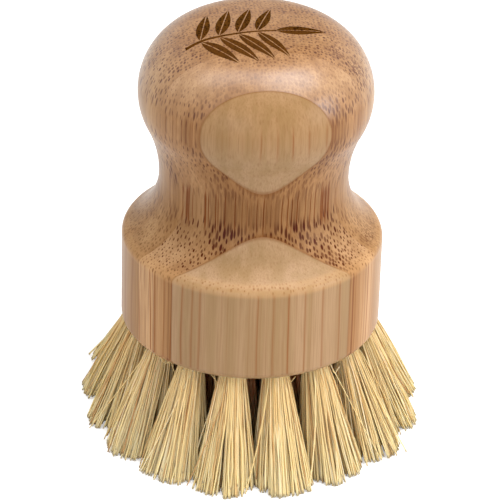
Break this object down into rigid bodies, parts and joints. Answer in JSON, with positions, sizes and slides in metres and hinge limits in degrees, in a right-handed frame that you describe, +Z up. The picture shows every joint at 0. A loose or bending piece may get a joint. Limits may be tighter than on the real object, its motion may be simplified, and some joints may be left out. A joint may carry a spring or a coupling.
{
  "type": "vegetable brush",
  "caption": "Palm brush for scrubbing vegetables: a turned knob handle of laminated bamboo over a splayed round head of stiff plant-fibre tufts.",
  "frame": {"origin": "under the middle of the brush, on the surface that the bristle tips stand on", "axes": "+Z up along the turned handle's axis; -Y is the front, square to the glue lines between the bamboo plies"},
  "size_m": [0.065, 0.065, 0.0838],
  "materials": {
    "bamboo": "laminated caramel bamboo, turned, sanded and lightly oiled",
    "bristle": "stiff undyed plant fibre, trimmed flat",
    "anchor_steel": "flat drawn wire"
  },
  "bodies": {
    "root": {"anchor_wires": "anchor_steel", "bamboo_ply_1_base": "bamboo", "bamboo_ply_1_head": "bamboo", "bamboo_ply_2": "bamboo", "bamboo_ply_3": "bamboo", "bamboo_ply_4": "bamboo", "bamboo_ply_5": "bamboo", "bamboo_ply_6": "bamboo", "bamboo_ply_7_base": "bamboo", "bamboo_ply_7_head": "bamboo", "inner_tuft_01": "bristle", "inner_tuft_02": "bristle", "inner_tuft_03": "bristle", "inner_tuft_04": "bristle", "middle_tuft_01": "bristle", "middle_tuft_02": "bristle", "middle_tuft_03": "bristle", "middle_tuft_04": "bristle", "middle_tuft_05": "bristle", "middle_tuft_06": "bristle", "middle_tuft_07": "bristle", "middle_tuft_08": "bristle", "middle_tuft_09": "bristle", "middle_tuft_10": "bristle", "outer_tuft_01": "bristle", "outer_tuft_02": "bristle", "outer_tuft_03": "bristle", "outer_tuft_04": "bristle", "outer_tuft_05": "bristle", "outer_tuft_06": "bristle", "outer_tuft_07": "bristle", "outer_tuft_08": "bristle", "outer_tuft_09": "bristle", "outer_tuft_10": "bristle", "outer_tuft_11": "bristle", "outer_tuft_12": "bristle", "outer_tuft_13": "bristle", "outer_tuft_14": "bristle", "outer_tuft_15": "bristle", "outer_tuft_16": "bristle"}
  },
  "joints": []
}
